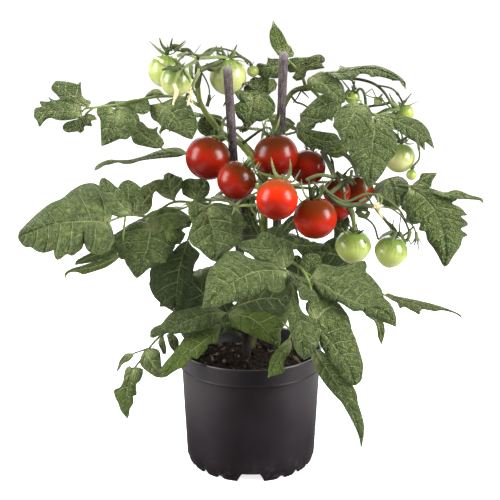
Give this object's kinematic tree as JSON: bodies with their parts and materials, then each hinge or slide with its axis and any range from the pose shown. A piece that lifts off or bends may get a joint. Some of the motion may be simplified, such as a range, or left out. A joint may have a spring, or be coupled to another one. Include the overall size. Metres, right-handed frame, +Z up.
{
  "type": "potted tomato plant",
  "caption": "Bush tomato plant with ripe and green fruit, compound leaves and two stakes, standing in a round dark plant pot of soil.",
  "frame": {"origin": "middle of the pot's foot, on the surface that the pot stands on", "axes": "+Z up the plant, -Y towards the viewer of the picture, +X to the viewer's right"},
  "size_m": [0.4362, 0.2472, 0.4371],
  "materials": {
    "pot": "dark charcoal plastic with a satin sheen",
    "soil": "dark brown potting soil, crumbly",
    "stake": "grey brown stained wood, mottled",
    "stem": "yellow green stem with fine hairs",
    "leaf": "grey green quilted leaf with paler veins",
    "truss": "green fruit stalks and sepals",
    "ripe_fruit": "smooth glossy red skin, browner round the stem end",
    "unripe_fruit": "smooth glossy pale green skin, darker round the stem end"
  },
  "bodies": {
    "root": {"pot": "pot", "soil": "soil", "stake_left": "stake", "stake_right": "stake", "stem": "stem", "leaf_low_left": "leaf", "leaf_low_far_left": "leaf", "leaf_rim_right": "leaf", "leaf_front_left": "leaf", "leaf_front_right": "leaf", "leaf_mid_left": "leaf", "leaf_mid_centre": "leaf", "leaf_upper_left": "leaf", "leaf_upper_left_low": "leaf", "leaf_top_up": "leaf", "leaf_centre_top": "leaf", "leaf_right_top": "leaf", "leaf_right_mid": "leaf", "leaf_right_hang": "leaf", "leaf_right_far": "leaf", "leaf_right_back": "leaf", "leaf_right_low": "leaf", "leaf_inner": "leaf", "leaf_back_left": "leaf", "leaf_back_left_low": "leaf", "leaf_back_middle": "leaf", "leaf_back_right_low": "leaf", "leaf_back_left_top": "leaf", "leaf_back_right_top": "leaf", "leaf_back_rim": "leaf", "truss_left": "truss", "truss_outer": "truss", "truss_right": "truss", "truss_top_left": "truss", "truss_top_right": "truss", "red_1": "ripe_fruit", "red_2": "ripe_fruit", "red_3": "ripe_fruit", "red_4": "ripe_fruit", "red_5": "ripe_fruit", "red_6": "ripe_fruit", "red_7": "ripe_fruit", "red_8": "ripe_fruit", "red_9": "ripe_fruit", "green_1": "unripe_fruit", "green_2": "unripe_fruit", "green_3": "unripe_fruit", "green_4": "unripe_fruit", "green_5": "unripe_fruit", "green_6": "unripe_fruit", "green_7": "unripe_fruit", "green_8": "unripe_fruit", "green_9": "unripe_fruit", "green_10": "unripe_fruit"}
  },
  "joints": []
}
